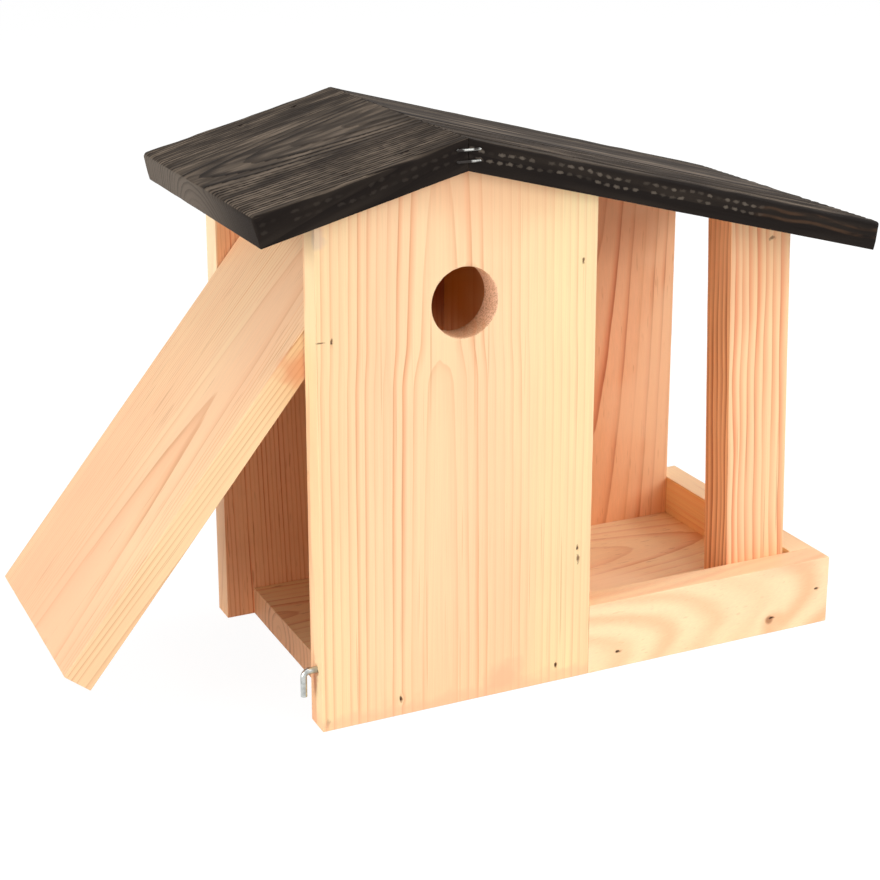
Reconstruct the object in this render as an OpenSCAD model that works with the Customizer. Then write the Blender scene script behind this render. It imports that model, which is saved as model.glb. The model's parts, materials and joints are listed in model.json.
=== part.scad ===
// Bird house with an open feeder bay under one gable roof.
// A nest box with a round entrance stands at the left, and a railed feeding floor at the right.
// The left wall is a door that swings on two nails, and an L hook turns across it as a latch.
// Lengths are in millimetres and angles in degrees.

/* [Boards] */
// Thickness of the front and back panels
panel_t = 14; // [10:0.5:20]
// Thickness of the wall between the nest box and the feeder bay
partition_t = 14; // [10:0.5:20]
// Thickness of the floor board
floor_t = 14; // [11:0.5:20]
// Thickness of both roof boards
roof_t = 14; // [10:0.5:20]

/* [House] */
// Width of the nest box, which is the width of the front panel
nest_w = 136; // [110:1:180]
// Width of the feeder bay, from the nest box to the end rail
bay_w = 125; // [95:1:180]
// Depth inside, between the front and back panels
inside_d = 118; // [90:1:160]

/* [Roof] */
// Height of the roof's underside at the ridge
ridge_z = 251.5; // [240:0.5:300]
// Distance of the ridge from the left edge
ridge_x = 68.5; // [50:0.5:86]
// Slope of both roof boards
roof_pitch = 14.7; // [10:0.1:17]
// Overhang of the roof's underside past the left edges of the panels
eave_left = 25.5; // [15:0.5:60]
// Overhang of the roof's underside past the end rail
eave_right = 10.5; // [4:0.5:60]
// Overhang of the roof in front of the front panel and behind the back panel
roof_overhang = 6; // [4:0.5:20]
// Gap between the mitred ends of the two roof boards
ridge_gap = 0.2; // [0.1:0.1:1]

/* [Entrance hole] */
// Diameter of the entrance hole
hole_d = 32; // [26:1:40]
// Distance of the hole's centre from the left edge
hole_x = 70; // [60:0.5:76]
// Height of the hole's centre
hole_z = 192; // [170:1:200]

/* [Rails and post] */
// Height of the rails round the feeding floor
rail_h = 35; // [26:1:50]
// Thickness of the rails
rail_t = 14; // [10:0.5:20]
// Width of the corner post, seen from the front
post_w = 34; // [24:1:44]
// Depth of the corner post
post_d = 20; // [14:1:30]
// Gap between the corner post's foot and the end rail
post_gap = 4; // [1:0.5:10]
// Lean of the corner post toward the nest box
post_lean = 1.8; // [0:0.1:3]

/* [Door] */
// Thickness of the door
door_t = 14; // [10:0.5:18]
// Gap between the door and each panel beside it
door_gap = 0.75; // [0.5:0.05:0.9]
// Gap under the closed door
door_lift = 0.5; // [0.5:0.5:4]
// Gap between the closed door and the end of the floor, which stops it
stop_gap = 0.3; // [0.2:0.1:0.8]
// Distance of the pivot nails from the left edge
pivot_x = 7; // [6:0.5:9]
// Height of the pivot nails
pivot_z = 182; // [165:1:185]
// Gap between the roof and the door's top corner as it swings
door_swing_gap = 6; // [3:0.5:12]
// Angle of the door at rest, from closed
door_open = 38.5; // [0:0.5:120]

/* [Latch hook] */
// Diameter of the hook's wire
hook_d = 3; // [2:0.1:4]
// Height of the hook's screw
hook_z = 28; // [22:1:60]
// Distance of the arm's centre line from the panel's edge
hook_reach = 6.2; // [5:0.1:10]
// Length of the arm below the screw's centre line
hook_arm = 12; // [9:0.5:16]
// Radius of the bend at the wire's centre line
hook_bend = 2.6; // [2.2:0.1:4]
// Depth of the screw in the panel's edge
hook_depth = 16; // [10:1:24]

/* [Nails and staples] */
// Diameter of the nails
nail_d = 1.3; // [1:0.1:1.6]
// Diameter of a nail's head
nail_head_d = 1.9; // [1.7:0.1:3]
// Thickness of a nail's head
nail_head_t = 0.8; // [0.5:0.1:1.2]
// Depth of a nail's head below the face
nail_sink = 0.6; // [0:0.1:1.5]
// Depth of a nail in the second board
nail_bite = 16; // [10:1:18]
// Height of the nails that hold the floor board
floor_nail_z = 8; // [5:0.5:9]
// Diameter of the door's pivot nails
pivot_nail_d = 1.8; // [1.5:0.1:2.2]
// Diameter of a pivot nail's head
pivot_head_d = 2.5; // [2.3:0.1:4]
// Depth of a pivot nail in the door's edge
pivot_bite = 17; // [12:1:24]
// Slant of the nail at the post's top, from upright
toe_angle = 35; // [25:1:45]
// Length of the nail at the post's top
toe_len = 20; // [16:1:20]
// Diameter of the ridge staples' wire
staple_d = 1.2; // [0.8:0.1:1.4]
// Width of a staple, between the centre lines of its legs
staple_w = 10; // [8:0.5:14]
// Length of a staple's legs
staple_leg = 14; // [8:1:20]
// Radial gap of each nail, screw and staple leg in its bore
fit = 0.05; // [0.02:0.01:0.09]

/* [Hidden] */
$fn = 48;

pine = [0.95, 0.78, 0.56];
stained = [0.16, 0.14, 0.13];
zinc = [0.72, 0.73, 0.73];
steel = [0.55, 0.53, 0.50];

// Outside length and depth of the house, without the roof
bay_end = nest_w + bay_w;
house_l = bay_end + rail_t;
house_d = inside_d + 2 * panel_t;
back_y = panel_t + inside_d;
// Overlap of tools with the material that they cut
cut = 1;

// Floor, door and partition
floor_x = door_t + stop_gap;
door_w = inside_d - 2 * door_gap;
door_corner_x = max(pivot_x, door_t - pivot_x);
partition_x = nest_w - partition_t;
partition_mid = nest_w - partition_t / 2;
panel_mid = panel_t / 2;
back_mid = house_d - panel_t / 2;

// Rails and post
rail_y = panel_t - rail_t;
end_mid = bay_end + rail_t / 2;
post_x = bay_end - post_gap - post_w;
post_mid_x = post_x + post_w / 2;
post_mid_y = panel_t + post_d / 2;
// Distance that the post leans between the floor and a height
function post_shift(z) = (z - floor_t) * tan(post_lean);

// Roof
roof_y = -roof_overhang;
roof_d = house_d + 2 * roof_overhang;
roof_left_len = (ridge_x + eave_left) / cos(roof_pitch);
roof_right_len = (house_l - ridge_x + eave_right) / cos(roof_pitch);
function roof_z(x) = ridge_z - abs(x - ridge_x) * tan(roof_pitch);
// Radius that the door's top corners swing through, and the door's length above its pivot
door_corner_r = (roof_z(pivot_x) - pivot_z) * cos(roof_pitch) - door_swing_gap;
door_head = sqrt(pow(door_corner_r, 2) - pow(door_corner_x, 2));
// Distance from the ridge, along a board, of a point on the underside above x
function along_roof(x) = abs(x - ridge_x) / cos(roof_pitch);

// Lengths of the nails, each through one board and into the next
panel_nail = panel_t + nail_bite;
rail_nail = rail_t + nail_bite;
floor_nail = floor_t + nail_bite;
roof_nail = roof_t + nail_bite;
pivot_nail = panel_t + door_gap + pivot_bite;
nail_tip = 2;
tip_r = 0.3;

// Distances of nails from the edges and pieces beside them
floor_nail_inset = 24;
panel_nail_inset = 17.5;
rail_nail_near = 16.5;
rail_nail_far = 33.5;
low_partition_nail = 52;
above_hole_nail = 13;
roof_end_nail = 16;
// Places of nails as parts of the board that they are spread along
back_bay_part = 0.45;
end_rail_parts = [0.3, 0.75];
rail_height_part = 0.54;
left_roof_parts = [0.3, 0.7];
right_roof_nest_parts = [0.72, 0.9];
right_roof_bay_parts = [0.2, 0.55];
partition_roof_parts = [0.3, 0.7];
// Places of the nails
front_nail_x = [floor_x + floor_nail_inset, nest_w - panel_nail_inset];
rail_nail_x = [nest_w + rail_nail_near, house_l - rail_nail_far];
back_nail_x = concat(front_nail_x, [nest_w + bay_w * back_bay_part, bay_end - floor_nail_inset]);
partition_nail_z = [floor_t + low_partition_nail, hole_z + above_hole_nail];
end_nail_y = [for (part = end_rail_parts) panel_t + inside_d * part];
rail_nail_z = rail_h * rail_height_part;
foot_nail_x = [post_mid_x - post_w / 4, post_mid_x + post_w / 4];
left_roof_nail_s = [for (part = left_roof_parts) along_roof(ridge_x * part)];
right_front_nail_s = [for (part = right_roof_nest_parts) along_roof(nest_w * part)];
right_back_nail_s = concat(
    right_front_nail_s[0],
    [for (part = right_roof_bay_parts) along_roof(nest_w + bay_w * part)],
    along_roof(bay_end - roof_end_nail)
);
partition_roof_s = along_roof(partition_mid + nail_bite * sin(roof_pitch) / 2);
partition_roof_y = [for (part = partition_roof_parts) panel_t + inside_d * part];
// The nail at the post's top starts this far below the roof, with its head this far inside the post
toe_part = 0.73;
toe_x = post_x + post_w * toe_part - post_shift(roof_z(post_mid_x));
toe_drop = 6;
toe_sink = 1.2;
toe_mouth = toe_sink + nail_head_d / tan(toe_angle);
// Heights of the two staples at each end of the ridge, as parts of the roof's thickness
staple_parts = [0.31, 0.67];
staple_rise = [for (part = staple_parts) roof_t * part];
// Gap between a staple's crown and the wood
staple_lift = 0.1;

// Moves the middle of the footprint to the origin
module centred() {
    translate([-house_l / 2, -house_d / 2, 0]) children();
}

// Everything below the roof's underside
module under_roof() {
    left = ridge_x - house_l;
    right = ridge_x + house_l;
    translate([0, house_d + cut, 0])
        rotate([90, 0, 0])
            linear_extrude(height = house_d + 2 * cut)
                polygon([
                    [left, -cut], [right, -cut], [right, roof_z(right)], [ridge_x, ridge_z], [left, roof_z(left)]
                ]);
}

// An upright board from z up to the roof's underside
module wall(x, y, z, w, d) {
    intersection() {
        translate([x, y, z]) cube([w, d, ridge_z]);
        under_roof();
    }
}

// A nail whose head is sunk below z = 0 and whose tip points down
module nail(len, d = nail_d, head_d = nail_head_d) {
    translate([0, 0, -nail_sink - nail_head_t]) cylinder(h = nail_head_t, d = head_d);
    translate([0, 0, nail_tip - len]) cylinder(h = len - nail_tip - nail_sink, d = d);
    translate([0, 0, -len]) cylinder(h = nail_tip, r1 = tip_r, r2 = d / 2);
}

// The hole that a nail leaves
module nail_bore(len, d = nail_d, head_d = nail_head_d, mouth = cut) {
    head_z = -nail_sink - nail_head_t - fit;
    translate([0, 0, head_z]) cylinder(h = mouth - head_z, d = head_d + 2 * fit);
    translate([0, 0, -len - fit]) cylinder(h = len, d = d + 2 * fit);
}

// Faces that nails go into, with the face's outward normal along z
module on_front(x, y, z) {
    translate([x, y, z]) rotate([90, 0, 0]) children();
}
module on_back(x, z) {
    translate([x, house_d, z]) rotate([-90, 0, 0]) children();
}
module on_end(y, z) {
    translate([house_l, y, z]) rotate([0, 90, 0]) children();
}
module on_underside(x, y) {
    translate([x, y, 0]) rotate([180, 0, 0]) children();
}
module left_slope() {
    translate([ridge_x, 0, ridge_z]) rotate([0, -roof_pitch, 0]) children();
}
module right_slope() {
    translate([ridge_x, 0, ridge_z]) rotate([0, roof_pitch, 0]) children();
}

// Places of each group of nails, for the nails and for their bores
module front_floor_places() {
    for (x = front_nail_x) on_front(x, 0, floor_nail_z) children();
}
module front_partition_places() {
    for (z = partition_nail_z) on_front(partition_mid, 0, z) children();
}
module back_floor_places() {
    for (x = back_nail_x) on_back(x, floor_nail_z) children();
}
module back_partition_places() {
    for (z = partition_nail_z) on_back(partition_mid, z) children();
}
module rail_floor_places() {
    for (x = rail_nail_x) on_front(x, rail_y, floor_nail_z) children();
}
module rail_corner_place() {
    on_front(end_mid, rail_y, rail_nail_z) children();
}
module end_rail_floor_places() {
    for (y = end_nail_y) on_end(y, floor_nail_z) children();
}
module end_rail_back_place() {
    on_end(back_mid, rail_nail_z) children();
}
module post_foot_places() {
    for (x = foot_nail_x) on_underside(x, post_mid_y) children();
}
module post_top_place() {
    translate([toe_x, panel_t, roof_z(toe_x) - toe_drop])
        rotate([180 - toe_angle, 0, 0]) translate([0, 0, -toe_sink]) children();
}
module roof_left_places() {
    for (s = left_roof_nail_s, y = [panel_mid, back_mid])
        left_slope() translate([-s, y, roof_t]) children();
}
module roof_right_places() {
    for (s = right_front_nail_s) right_slope() translate([s, panel_mid, roof_t]) children();
    for (s = right_back_nail_s) right_slope() translate([s, back_mid, roof_t]) children();
    for (y = partition_roof_y) right_slope() translate([partition_roof_s, y, roof_t]) children();
}
module staple_places() {
    for (rise = staple_rise) {
        on_front(ridge_x, roof_y, ridge_z + rise) children();
        translate([ridge_x, roof_y + roof_d, ridge_z + rise]) rotate([-90, 0, 0]) children();
    }
}
module front_pivot_place() {
    on_front(pivot_x, 0, pivot_z) children();
}
module back_pivot_place() {
    on_back(pivot_x, pivot_z) children();
}
module pivot_nail_shape() {
    nail(pivot_nail, pivot_nail_d, pivot_head_d);
}
module pivot_nail_bore() {
    nail_bore(pivot_nail, pivot_nail_d, pivot_head_d);
}

// A staple whose legs go down from its crown, which lies just above z = 0
module staple() {
    crown_z = staple_lift + staple_d / 2;
    translate([-staple_w / 2, 0, crown_z]) rotate([0, 90, 0]) cylinder(h = staple_w, d = staple_d);
    for (side = [-1, 1])
        translate([side * staple_w / 2, 0, 0]) {
            translate([0, 0, crown_z]) sphere(d = staple_d);
            translate([0, 0, -staple_leg]) cylinder(h = staple_leg + crown_z, d = staple_d);
        }
}
module staple_bore() {
    for (side = [-1, 1])
        translate([side * staple_w / 2, 0, -staple_leg - fit])
            cylinder(h = staple_leg + fit + cut, d = staple_d + 2 * fit);
}

module front_panel() {
    color(pine) centred() difference() {
        wall(0, 0, 0, nest_w, panel_t);
        translate([hole_x, -cut, hole_z]) rotate([-90, 0, 0]) cylinder(h = panel_t + 2 * cut, d = hole_d);
        translate([-cut, panel_mid, hook_z])
            rotate([0, 90, 0]) cylinder(h = hook_depth + fit + cut, d = hook_d + 2 * fit);
        front_pivot_place() pivot_nail_bore();
        front_floor_places() nail_bore(panel_nail);
        front_partition_places() nail_bore(panel_nail);
        roof_left_places() nail_bore(roof_nail);
        roof_right_places() nail_bore(roof_nail);
    }
}

module back_panel() {
    color(pine) centred() difference() {
        wall(0, back_y, 0, bay_end, panel_t);
        back_pivot_place() pivot_nail_bore();
        back_floor_places() nail_bore(panel_nail);
        back_partition_places() nail_bore(panel_nail);
        end_rail_back_place() nail_bore(rail_nail);
        roof_left_places() nail_bore(roof_nail);
        roof_right_places() nail_bore(roof_nail);
    }
}

module floor_board() {
    color(pine) centred() difference() {
        translate([floor_x, panel_t, 0]) cube([bay_end - floor_x, inside_d, floor_t]);
        front_floor_places() nail_bore(panel_nail);
        back_floor_places() nail_bore(panel_nail);
        rail_floor_places() nail_bore(rail_nail);
        end_rail_floor_places() nail_bore(rail_nail);
        post_foot_places() nail_bore(floor_nail);
    }
}

module partition_wall() {
    color(pine) centred() difference() {
        wall(partition_x, panel_t, floor_t, partition_t, inside_d);
        front_partition_places() nail_bore(panel_nail);
        back_partition_places() nail_bore(panel_nail);
        roof_right_places() nail_bore(roof_nail);
    }
}

module front_rail() {
    color(pine) centred() difference() {
        translate([nest_w, rail_y, 0]) cube([house_l - nest_w, rail_t, rail_h]);
        rail_floor_places() nail_bore(rail_nail);
        rail_corner_place() nail_bore(rail_nail);
    }
}

module end_rail() {
    color(pine) centred() difference() {
        translate([bay_end, panel_t, 0]) cube([rail_t, house_d - panel_t, rail_h]);
        rail_corner_place() nail_bore(rail_nail);
        end_rail_floor_places() nail_bore(rail_nail);
        end_rail_back_place() nail_bore(rail_nail);
    }
}

module corner_post() {
    color(pine) centred() difference() {
        intersection() {
            translate([0, panel_t + post_d, 0])
                rotate([90, 0, 0])
                    linear_extrude(height = post_d)
                        polygon([
                            [post_x, floor_t], [post_x + post_w, floor_t],
                            [post_x + post_w - post_shift(ridge_z), ridge_z],
                            [post_x - post_shift(ridge_z), ridge_z]
                        ]);
            under_roof();
        }
        post_foot_places() nail_bore(floor_nail);
        post_top_place() nail_bore(toe_len, mouth = toe_mouth);
    }
}

// A roof board with its upper end mitred. Side is -1 for the left board and 1 for the right one.
module mitred_board(side, len) {
    joint_x = ridge_x + side * ridge_gap / 2;
    joint_rise = roof_t / cos(roof_pitch);
    eave = [ridge_x + side * len * cos(roof_pitch), ridge_z - len * sin(roof_pitch)];
    eave_top = eave + roof_t * [side * sin(roof_pitch), cos(roof_pitch)];
    translate([0, roof_y + roof_d, 0])
        rotate([90, 0, 0])
            linear_extrude(height = roof_d)
                polygon([
                    [joint_x, roof_z(joint_x)], eave, eave_top, [joint_x, roof_z(joint_x) + joint_rise]
                ]);
}

module roof_board_left() {
    color(stained) centred() difference() {
        mitred_board(-1, roof_left_len);
        roof_left_places() nail_bore(roof_nail);
        staple_places() staple_bore();
    }
}

module roof_board_right() {
    color(stained) centred() difference() {
        mitred_board(1, roof_right_len);
        roof_right_places() nail_bore(roof_nail);
        post_top_place() nail_bore(toe_len, mouth = toe_mouth);
        staple_places() staple_bore();
    }
}

module side_door() {
    color(pine) centred()
        translate([pivot_x, 0, pivot_z]) rotate([0, door_open, 0]) translate([-pivot_x, 0, -pivot_z])
            difference() {
                translate([0, panel_t + door_gap, door_lift])
                    cube([door_t, door_w, pivot_z + door_head - door_lift]);
                front_pivot_place() pivot_nail_bore();
                back_pivot_place() pivot_nail_bore();
            }
}

module latch_hook() {
    shank = hook_depth - hook_d + hook_reach - hook_bend;
    color(zinc) centred() translate([0, panel_mid, hook_z]) {
        translate([hook_bend - hook_reach, 0, 0]) rotate([0, 90, 0]) {
            cylinder(h = shank, d = hook_d);
            translate([0, 0, shank]) cylinder(h = hook_d, r1 = hook_d / 2, r2 = tip_r);
        }
        translate([hook_bend - hook_reach, 0, -hook_bend])
            rotate([90, 0, 0]) rotate([0, 0, 90])
                rotate_extrude(angle = 90) translate([hook_bend, 0]) circle(d = hook_d);
        translate([-hook_reach, 0, -hook_arm]) cylinder(h = hook_arm - hook_bend, d = hook_d);
    }
}

module door_pivot_nail_front() {
    color(steel) centred() front_pivot_place() pivot_nail_shape();
}
module door_pivot_nail_back() {
    color(steel) centred() back_pivot_place() pivot_nail_shape();
}
module front_floor_nails() {
    color(steel) centred() front_floor_places() nail(panel_nail);
}
module front_partition_nails() {
    color(steel) centred() front_partition_places() nail(panel_nail);
}
module back_floor_nails() {
    color(steel) centred() back_floor_places() nail(panel_nail);
}
module back_partition_nails() {
    color(steel) centred() back_partition_places() nail(panel_nail);
}
module rail_floor_nails() {
    color(steel) centred() rail_floor_places() nail(rail_nail);
}
module rail_corner_nail() {
    color(steel) centred() rail_corner_place() nail(rail_nail);
}
module end_rail_floor_nails() {
    color(steel) centred() end_rail_floor_places() nail(rail_nail);
}
module end_rail_back_nail() {
    color(steel) centred() end_rail_back_place() nail(rail_nail);
}
module post_foot_nails() {
    color(steel) centred() post_foot_places() nail(floor_nail);
}
module post_top_nail() {
    color(steel) centred() post_top_place() nail(toe_len);
}
module roof_left_nails() {
    color(steel) centred() roof_left_places() nail(roof_nail);
}
module roof_right_nails() {
    color(steel) centred() roof_right_places() nail(roof_nail);
}
module ridge_staples() {
    color(zinc) centred() staple_places() staple();
}

front_panel();
back_panel();
floor_board();
partition_wall();
front_rail();
end_rail();
corner_post();
roof_board_left();
roof_board_right();
side_door();
latch_hook();
door_pivot_nail_front();
door_pivot_nail_back();
front_floor_nails();
front_partition_nails();
back_floor_nails();
back_partition_nails();
rail_floor_nails();
rail_corner_nail();
end_rail_floor_nails();
end_rail_back_nail();
post_foot_nails();
post_top_nail();
roof_left_nails();
roof_right_nails();
ridge_staples();
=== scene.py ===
import json
import math
from typing import NamedTuple

import bpy
import numpy as np
from mathutils import Euler, Matrix, Vector, noise


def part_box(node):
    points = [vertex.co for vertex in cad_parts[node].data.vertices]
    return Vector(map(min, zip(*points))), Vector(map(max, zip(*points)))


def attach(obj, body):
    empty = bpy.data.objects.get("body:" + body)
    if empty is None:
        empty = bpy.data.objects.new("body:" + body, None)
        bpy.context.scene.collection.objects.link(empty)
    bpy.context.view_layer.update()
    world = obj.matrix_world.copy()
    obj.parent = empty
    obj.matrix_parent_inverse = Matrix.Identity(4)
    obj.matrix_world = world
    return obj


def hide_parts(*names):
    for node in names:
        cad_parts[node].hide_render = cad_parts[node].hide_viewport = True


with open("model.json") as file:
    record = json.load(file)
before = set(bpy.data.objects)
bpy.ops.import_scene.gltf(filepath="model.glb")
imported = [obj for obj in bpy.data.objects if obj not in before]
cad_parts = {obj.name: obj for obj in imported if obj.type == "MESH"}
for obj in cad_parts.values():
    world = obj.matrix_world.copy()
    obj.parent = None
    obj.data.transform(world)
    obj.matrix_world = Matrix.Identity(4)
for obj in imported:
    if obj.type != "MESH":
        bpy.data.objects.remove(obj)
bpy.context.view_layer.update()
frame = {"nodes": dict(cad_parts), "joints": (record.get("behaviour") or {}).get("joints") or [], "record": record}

# Bird house with a feeder bay: looks of the boards, the hook and the nails.
# Lengths are in metres, as in the frame, unless a name ends in _mm or _MM.

MM = 0.001
PER_MM = (1 / MM, 1 / MM, 1 / MM)
X, Y, Z = range(3)
LOW, HIGH = 0, 1
NODES = frame["nodes"]
JOINTS = {joint["name"]: joint for joint in frame["joints"]}

# Slope of the roof boards, and the angle at which the door stands open
ROOF_PITCH = math.radians(14.7)
DOOR_ANGLE = math.radians(-JOINTS["door_swing"]["range_deg"][0])
DOOR_PIVOT = Vector(JOINTS["door_swing"]["pos_m"])
HOOK_PLACE = Vector(JOINTS["latch_turn"]["pos_m"])
ENTRANCE = next(mount for mount in frame["record"]["mounts"] if mount["name"] == "entrance_hole")
ENTRANCE_PLACE = Vector(ENTRANCE["pos_m"])
ENTRANCE_R = ENTRANCE["dims"]["r_mm"] * MM

# Frames of the boards: how each is turned from lying along the axes
UPRIGHT = Matrix.Identity(3)
LEFT_SLOPE = Matrix.Rotation(-ROOF_PITCH, 3, "Y")
RIGHT_SLOPE = Matrix.Rotation(ROOF_PITCH, 3, "Y")
DOOR_TURN = Matrix.Rotation(DOOR_ANGLE, 3, "Y")
POST_LEAN = math.radians(1.8)
LEANING = Matrix(((1.0, 0.0, -math.tan(POST_LEAN)), (0.0, 1.0, 0.0), (0.0, 0.0, 1.0)))


def cad_points(node):
    """The corners of a CAD node, one row for each."""
    mesh = NODES[node].data
    points = np.empty(len(mesh.vertices) * 3)
    mesh.vertices.foreach_get("co", points)
    return points.reshape(-1, 3)


def in_frame(points, turn):
    """Points as seen in a board's own frame."""
    return points @ np.array(turn.inverted()).T


def turned_box(node, turn):
    """Lowest and highest corner of a CAD node in a turned frame."""
    points = in_frame(cad_points(node), turn)
    return points.min(axis=0), points.max(axis=0)


ROOF_FRONT_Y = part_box("roof_board_left")[LOW].y
FRONT_POINTS = cad_points("front_panel")
RIDGE = FRONT_POINTS[FRONT_POINTS[:, Z].argmax()]


def roof_height(x):
    """Height of the roof's underside above x."""
    return RIDGE[Z] - np.abs(x - RIDGE[X]) * math.tan(ROOF_PITCH)


# Colours and node trees


def srgb(red, green, blue):
    """A colour written in 8-bit sRGB, as the linear colour of a shader."""
    parts = [part / 255 for part in (red, green, blue)]
    linear = [part / 12.92 if part <= 0.04045 else ((part + 0.055) / 1.055) ** 2.4 for part in parts]
    return (*linear, 1.0)


class Graph:
    """Adds joined nodes to a shader or geometry tree."""

    def __init__(self, tree):
        self.tree = tree

    def node(self, kind, **settings):
        made = self.tree.nodes.new(kind)
        for name, value in settings.items():
            setattr(made, name, value)
        return made

    def feed(self, socket, source):
        if isinstance(source, bpy.types.NodeSocket):
            self.tree.links.new(source, socket)
        else:
            socket.default_value = source

    def math(self, operation, *sources, clamp=False):
        made = self.node("ShaderNodeMath", operation=operation, use_clamp=clamp)
        for socket, source in zip(made.inputs, sources):
            self.feed(socket, source)
        return made.outputs[0]

    def vector(self, operation, *sources):
        made = self.node("ShaderNodeVectorMath", operation=operation)
        for socket, source in zip(made.inputs, sources):
            self.feed(socket, source)
        single = operation in ("LENGTH", "DISTANCE", "DOT_PRODUCT")
        return made.outputs["Value" if single else "Vector"]

    def parts(self, vector):
        made = self.node("ShaderNodeSeparateXYZ")
        self.feed(made.inputs[0], vector)
        return tuple(made.outputs)

    def combine(self, x, y, z):
        made = self.node("ShaderNodeCombineXYZ")
        for socket, source in zip(made.inputs, (x, y, z)):
            self.feed(socket, source)
        return made.outputs[0]

    def even(self, value):
        """A vector with one value along all three axes."""
        return self.combine(value, value, value)

    def turn_back(self, vector, turn):
        made = self.node("ShaderNodeVectorRotate", rotation_type="EULER_XYZ", invert=True)
        self.feed(made.inputs["Vector"], vector)
        self.feed(made.inputs["Rotation"], turn)
        return made.outputs[0]

    def noise(self, point, scale=1.0, detail=2.0, roughness=0.5, output=0):
        made = self.node("ShaderNodeTexNoise")
        self.feed(made.inputs["Vector"], point)
        self.feed(made.inputs["Scale"], scale)
        self.feed(made.inputs["Detail"], detail)
        self.feed(made.inputs["Roughness"], roughness)
        return made.outputs[output]

    def drawn_noise(self, point, across, along, **settings):
        """Noise drawn out along z, with its waves per unit across and along."""
        return self.noise(self.vector("MULTIPLY", point, (across, across, along)), **settings)

    def grade(self, value, low, high, start=0.0, end=1.0):
        """Goes smoothly from start to end as value goes from low to high."""
        made = self.node("ShaderNodeMapRange", interpolation_type="SMOOTHSTEP")
        for socket, source in zip(made.inputs, (value, low, high, start, end)):
            self.feed(socket, source)
        return made.outputs[0]

    def mix(self, share, first, second, blend="MIX"):
        """Blends two colours. Their sockets go by number, as the node's other kinds share their names."""
        made = self.node("ShaderNodeMix", data_type="RGBA", blend_type=blend)
        self.feed(made.inputs[0], share)
        self.feed(made.inputs[6], first)
        self.feed(made.inputs[7], second)
        return made.outputs[2]

    def group(self, tree, inputs, kind="ShaderNodeGroup"):
        made = self.node(kind, node_tree=tree)
        for name, source in inputs.items():
            self.feed(made.inputs[name], source)
        return made.outputs


def new_group(name, kind, inputs, outputs):
    """An empty node group with named sockets, its graph, and the sockets inside it."""
    tree = bpy.data.node_groups.new(name, kind)
    for in_out, sockets in (("INPUT", inputs), ("OUTPUT", outputs)):
        for label, value_kind in sockets:
            tree.interface.new_socket(label, in_out=in_out, socket_type="NodeSocket" + value_kind)
    graph = Graph(tree)
    entry = graph.node("NodeGroupInput")
    leave = graph.node("NodeGroupOutput")
    return tree, graph, entry.outputs, leave.inputs


# Wood: growth rings round a pith, cut by the faces of each board


class Log(NamedTuple):
    """Where a board lay in its log, and how the log grew.

    The fibre is the log's z axis, turned by turn about the pith's place. Late wood fills a ring from its
    onset to its fall. Past slow_from_mm the rings get thinner. The pith bows, and it may take a step.
    """
    pith: tuple
    turn: tuple = (0.0, 0.0, 0.0)
    ring_mm: float = 4.0
    phase: float = 0.0
    onset: float = 0.3
    fall: float = 0.955
    strong_year: float = 2.0
    slow_from_mm: float = 1000.0
    slowing: float = 0.0
    uneven: float = 1.0
    bow: float = 0.0
    step_at_mm: float = 0.0
    step_mm: float = 0.0
    wander_mm: float = 1.5
    bends: float = 1.0
    knot: tuple = (9.0, 9.0, 9.0)
    knot_size_mm: float = 3.0
    seed: float = 0.0


def socket_name(field):
    """The name of the node socket that takes a field of a log."""
    return field.removesuffix("_mm").replace("_", " ").title()


def ring_values(log):
    """A log's values under the names of their sockets."""
    return {socket_name(field): value for field, value in log._asdict().items()}


LOG_INPUTS = [
    (socket_name(field), "Vector" if kind is tuple else "Float")
    for field, kind in Log.__annotations__.items()
]
RING_OUTPUTS = [
    ("Late", "Float"), ("Line", "Float"), ("Strength", "Float"), ("Radius", "Float"), ("Knot", "Float"),
    ("Log Point", "Vector"),
]

# Half the length of a step in the rings' depth, and years from one strong ring to the next
STEP_HALF_MM = 11.0
YEARS_APART = 4.0

# Waves per millimetre of the rings' wandering, and the height of their fine wobble
WANDER_WAVES = (0.014, 0.014, 0.0045)
WOBBLE_MM = 0.9

# The last part of a ring, in which its thin dark edge gathers
EDGE_FROM = 0.8
EDGE_FULL = 0.955


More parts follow.
